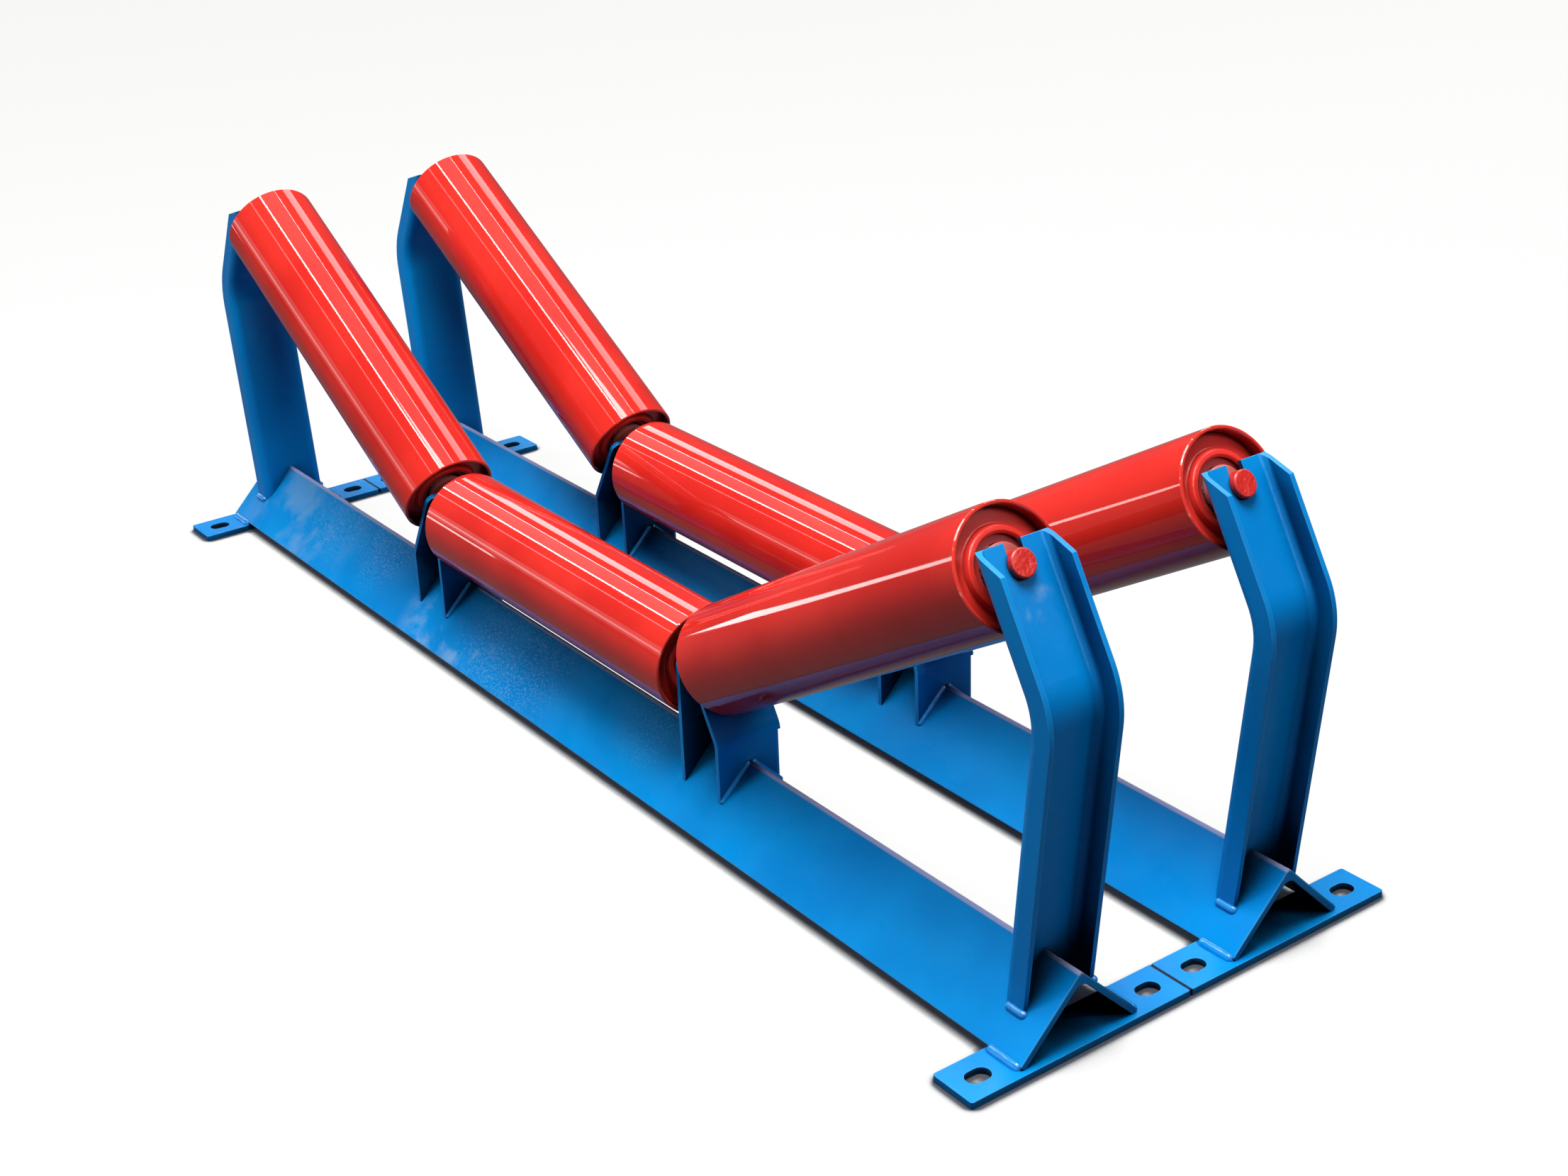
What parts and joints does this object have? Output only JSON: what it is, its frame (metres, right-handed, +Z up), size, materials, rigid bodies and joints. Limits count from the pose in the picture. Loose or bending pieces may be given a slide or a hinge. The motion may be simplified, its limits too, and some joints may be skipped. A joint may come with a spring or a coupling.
{
  "type": "troughing idler frame",
  "caption": "Twin troughing idler frame for a belt conveyor: angle bases on slotted foot plates, welded brackets and free-turning rollers in a trough.",
  "frame": {"origin": "centre of the footprint on the underside of the foot plates", "axes": "+X across the belt along the base angles, +Y along the belt from the near set to the far set, +Z up"},
  "size_m": [1.26, 0.4, 0.3671],
  "materials": {
    "angle_paint": "satin",
    "plate_paint": "gloss",
    "bracket_paint": "gloss",
    "weld_paint": "gloss",
    "roller_paint": "gloss",
    "housing_paint": "gloss",
    "shaft_paint": "gloss",
    "bearing_steel": "satin",
    "seal_plastic": "matte",
    "cup_plastic": "matte"
  },
  "bodies": {
    "frame": {"near_base_angle": "angle_paint", "near_left_foot_plate": "plate_paint", "near_left_end_bracket": "bracket_paint", "near_left_middle_bracket": "bracket_paint", "near_right_foot_plate": "plate_paint", "near_right_end_bracket": "bracket_paint", "near_right_middle_bracket": "bracket_paint", "near_weld_beads": "weld_paint", "near_left_shaft": "shaft_paint", "near_left_bearings_inner": "bearing_steel", "near_left_seals_inner": "cup_plastic", "near_centre_shaft": "shaft_paint", "near_centre_bearings_inner": "bearing_steel", "near_centre_seals_inner": "cup_plastic", "near_right_shaft": "shaft_paint", "near_right_bearings_inner": "bearing_steel", "near_right_seals_inner": "cup_plastic", "far_base_angle": "angle_paint", "far_left_foot_plate": "plate_paint", "far_left_end_bracket": "bracket_paint", "far_left_middle_bracket": "bracket_paint", "far_right_foot_plate": "plate_paint", "far_right_end_bracket": "bracket_paint", "far_right_middle_bracket": "bracket_paint", "far_weld_beads": "weld_paint", "far_left_shaft": "shaft_paint", "far_left_bearings_inner": "bearing_steel", "far_left_seals_inner": "cup_plastic", "far_centre_shaft": "shaft_paint", "far_centre_bearings_inner": "bearing_steel", "far_centre_seals_inner": "cup_plastic", "far_right_shaft": "shaft_paint", "far_right_bearings_inner": "bearing_steel", "far_right_seals_inner": "cup_plastic"},
    "near_left_roller": {"near_left_shell": "roller_paint", "near_left_housings": "housing_paint", "near_left_bearings_outer": "bearing_steel", "near_left_seals_outer": "seal_plastic"},
    "near_centre_roller": {"near_centre_shell": "roller_paint", "near_centre_housings": "housing_paint", "near_centre_bearings_outer": "bearing_steel", "near_centre_seals_outer": "seal_plastic"},
    "near_right_roller": {"near_right_shell": "roller_paint", "near_right_housings": "housing_paint", "near_right_bearings_outer": "bearing_steel", "near_right_seals_outer": "seal_plastic"},
    "far_left_roller": {"far_left_shell": "roller_paint", "far_left_housings": "housing_paint", "far_left_bearings_outer": "bearing_steel", "far_left_seals_outer": "seal_plastic"},
    "far_centre_roller": {"far_centre_shell": "roller_paint", "far_centre_housings": "housing_paint", "far_centre_bearings_outer": "bearing_steel", "far_centre_seals_outer": "seal_plastic"},
    "far_right_roller": {"far_right_shell": "roller_paint", "far_right_housings": "housing_paint", "far_right_bearings_outer": "bearing_steel", "far_right_seals_outer": "seal_plastic"}
  },
  "joints": [
    {"name": "near_left_spin", "type": "hinge", "parent": "frame", "child": "near_left_roller", "pos_m": [-0.38754, -0.1, 0.234], "axis": [0.866, 0, -0.5], "continuous": true},
    {"name": "near_centre_spin", "type": "hinge", "parent": "frame", "child": "near_centre_roller", "pos_m": [0, -0.1, 0.124], "axis": [1, 0, 0], "continuous": true},
    {"name": "near_right_spin", "type": "hinge", "parent": "frame", "child": "near_right_roller", "pos_m": [0.38754, -0.1, 0.234], "axis": [0.866, 0, 0.5], "continuous": true},
    {"name": "far_left_spin", "type": "hinge", "parent": "frame", "child": "far_left_roller", "pos_m": [-0.38754, 0.1, 0.234], "axis": [0.866, 0, -0.5], "continuous": true},
    {"name": "far_centre_spin", "type": "hinge", "parent": "frame", "child": "far_centre_roller", "pos_m": [0, 0.1, 0.124], "axis": [1, 0, 0], "continuous": true},
    {"name": "far_right_spin", "type": "hinge", "parent": "frame", "child": "far_right_roller", "pos_m": [0.38754, 0.1, 0.234], "axis": [0.866, 0, 0.5], "continuous": true}
  ]
}
